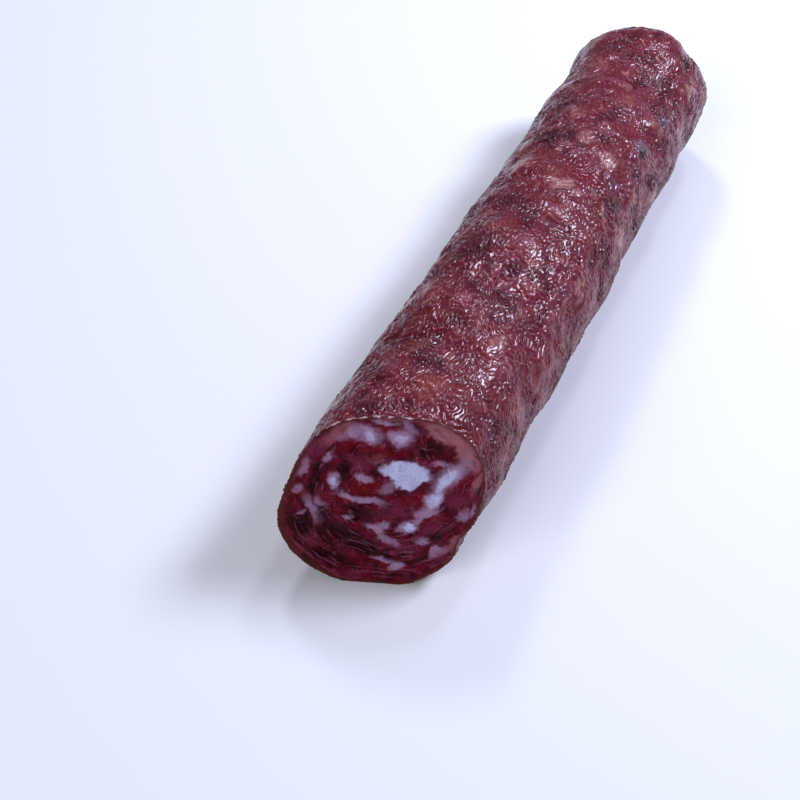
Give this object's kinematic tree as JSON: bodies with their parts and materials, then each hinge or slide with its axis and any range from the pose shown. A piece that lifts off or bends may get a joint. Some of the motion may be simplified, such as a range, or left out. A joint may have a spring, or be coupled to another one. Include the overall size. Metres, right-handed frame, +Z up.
{
  "type": "cured sausage",
  "caption": "Length of dry-cured sausage in a wrinkled natural casing, with a slanting cut face at one end and the casing gathered to a small tuft at the other.",
  "frame": {"origin": "on the flattened underside that it rests on, below the middle of the whole length", "axes": "+Y along the sausage towards the gathered end, so the cut faces -Y, upwards and a little to +X; +Z up from the surface it rests on; +X to the right seen from the cut"},
  "size_m": [0.0421, 0.1905, 0.0409],
  "materials": {
    "casing": null,
    "cut_meat": null
  },
  "bodies": {
    "root": {"sausage": "casing"}
  },
  "joints": []
}
